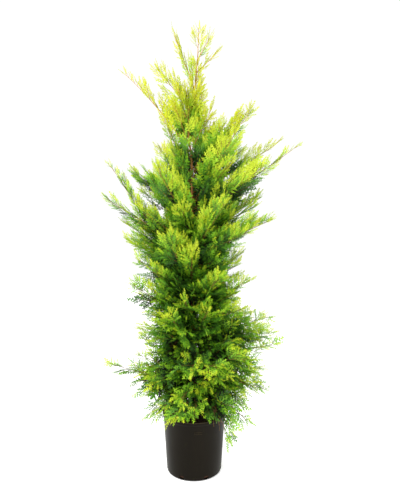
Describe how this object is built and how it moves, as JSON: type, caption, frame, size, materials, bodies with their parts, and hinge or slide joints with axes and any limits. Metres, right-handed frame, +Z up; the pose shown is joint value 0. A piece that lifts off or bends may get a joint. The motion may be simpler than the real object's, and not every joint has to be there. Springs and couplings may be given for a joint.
{
  "type": "potted leyland cypress",
  "caption": "Tall narrow evergreen conifer with ascending boughs and flat lime-green sprays, standing in a round black nursery pot full of compost.",
  "frame": {"origin": "middle of the pot's flat underside, on the surface that the pot stands on", "axes": "+Z up along the trunk, +X to the plant's right as pictured, -Y to its front"},
  "size_m": [0.9099, 0.6089, 2.045],
  "materials": {
    "pot": "satin black",
    "compost": "rough, crumbly",
    "bark": "rough red-brown bark",
    "foliage": "waxy, matte"
  },
  "bodies": {
    "root": {"bough_left_03": "bark", "bough_left_06": "bark", "bough_left_08": "bark", "bough_right_03": "bark", "bough_right_07": "bark", "bough_right_09": "bark", "bough_right_10": "bark", "bough_top_01": "bark", "compost": "compost", "foliage_back_01": "foliage", "foliage_back_02": "foliage", "foliage_back_03": "foliage", "foliage_back_04": "foliage", "foliage_back_05": "foliage", "foliage_back_06": "foliage", "foliage_back_07": "foliage", "foliage_back_08": "foliage", "foliage_back_09": "foliage", "foliage_back_10": "foliage", "foliage_front_01": "foliage", "foliage_front_02": "foliage", "foliage_front_03": "foliage", "foliage_front_04": "foliage", "foliage_front_05": "foliage", "foliage_front_06": "foliage", "foliage_front_07": "foliage", "foliage_front_08": "foliage", "foliage_front_09": "foliage", "foliage_front_10": "foliage", "foliage_leader": "foliage", "foliage_left_01": "foliage", "foliage_left_02": "foliage", "foliage_left_03": "foliage", "foliage_left_04": "foliage", "foliage_left_05": "foliage", "foliage_left_06": "foliage", "foliage_left_07": "foliage", "foliage_left_08": "foliage", "foliage_left_09": "foliage", "foliage_left_10": "foliage", "foliage_right_01": "foliage", "foliage_right_02": "foliage", "foliage_right_03": "foliage", "foliage_right_04": "foliage", "foliage_right_05": "foliage", "foliage_right_06": "foliage", "foliage_right_07": "foliage", "foliage_right_08": "foliage", "foliage_right_09": "foliage", "foliage_right_10": "foliage", "foliage_right_11": "foliage", "foliage_top_01": "foliage", "foliage_top_02": "foliage", "foliage_top_03": "foliage", "foliage_top_04": "foliage", "foliage_top_05": "foliage", "foliage_top_06": "foliage", "pot": "pot", "trunk": "bark"}
  },
  "joints": []
}
